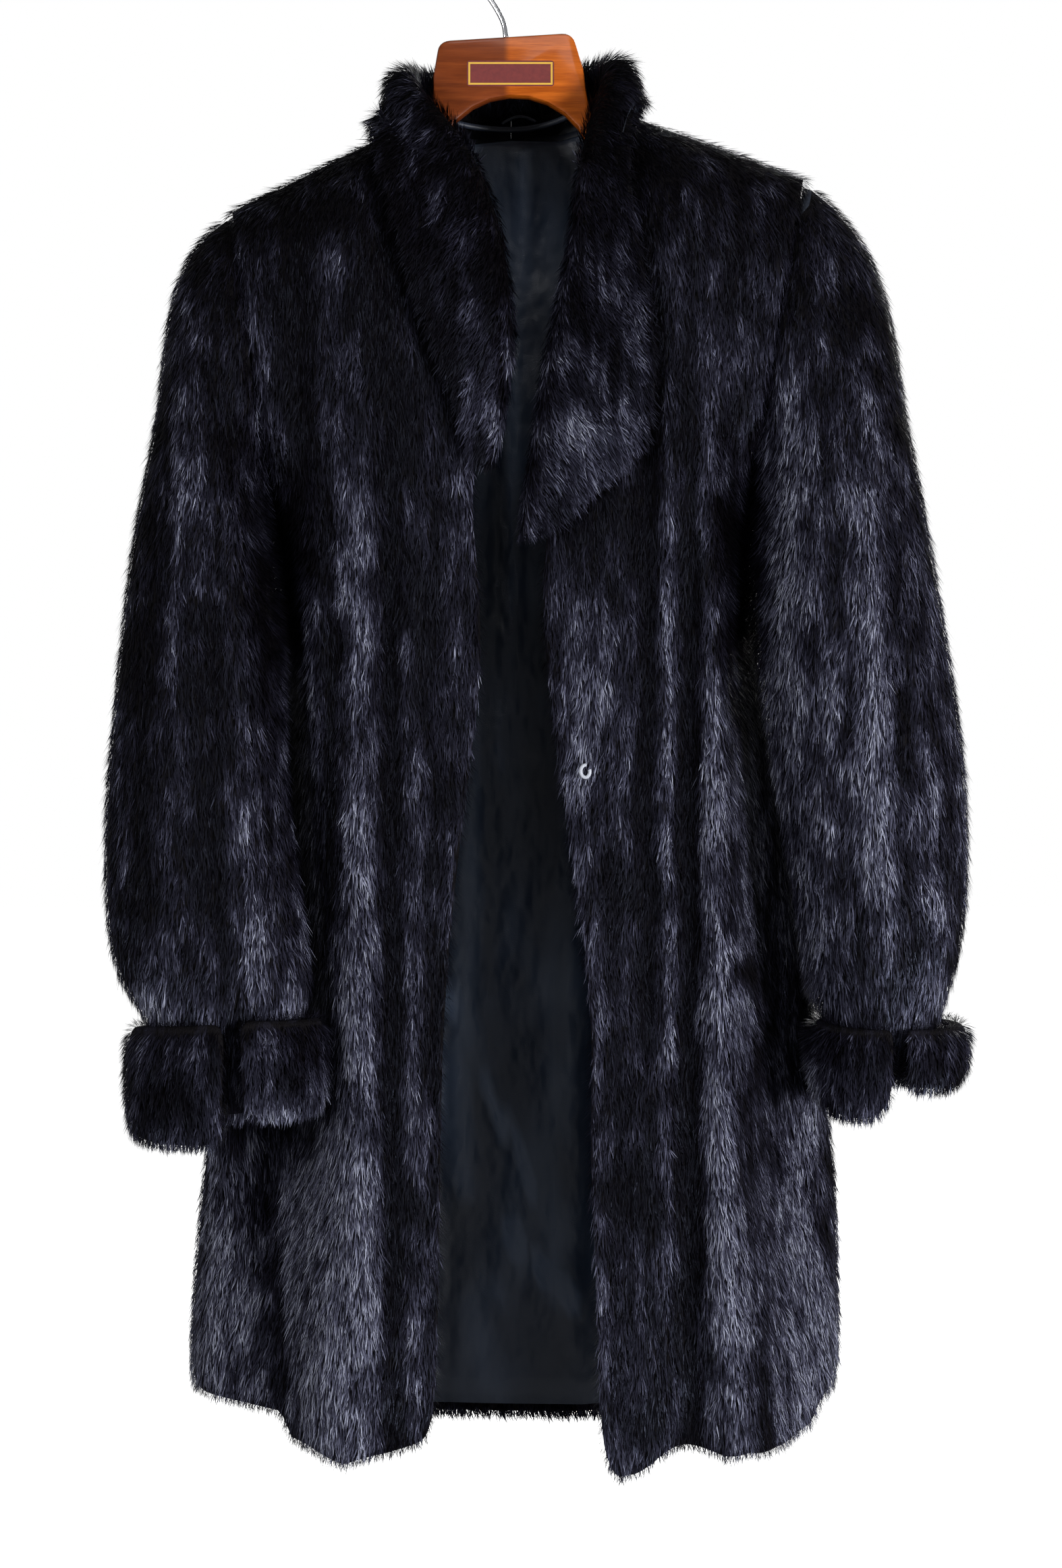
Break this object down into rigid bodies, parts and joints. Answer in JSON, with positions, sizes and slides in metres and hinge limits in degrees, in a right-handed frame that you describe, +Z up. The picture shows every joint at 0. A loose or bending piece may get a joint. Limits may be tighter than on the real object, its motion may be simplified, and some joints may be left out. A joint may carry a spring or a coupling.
{
  "type": "fur coat on hanger",
  "caption": "Open, collared dark brown fur coat with turn-back cuffs and a navy satin lining, hanging on a varnished wooden hanger with a wire hook.",
  "frame": {"origin": "the seat of the hanger's hook, where its wire rests on a rail", "axes": "+Z up; the coat faces -Y, and the wearer's left arm is at +X"},
  "size_m": [0.5681, 0.1936, 1.0133],
  "materials": {
    "fur": "long glossy fur, near-black brown with grey-violet guard hairs",
    "lining": "dark navy satin",
    "trim": "rolled satin edge",
    "thread": "grey thread wound over wire",
    "wood": "orange-brown gloss varnish, darker on one side",
    "wire": "polished"
  },
  "bodies": {
    "root": {"right_front": "fur", "left_front": "fur", "back": "fur", "right_sleeve": "fur", "left_sleeve": "fur", "right_cuff": "fur", "left_cuff": "fur", "collar_right": "fur", "collar_left": "fur", "lining_back": "lining", "lining_right_front": "lining", "lining_left_front": "lining", "neck_piping": "trim", "hang_loop": "trim", "fur_eye": "thread", "hanger_body": "wood", "hanger_hook": "wire"}
  },
  "joints": []
}
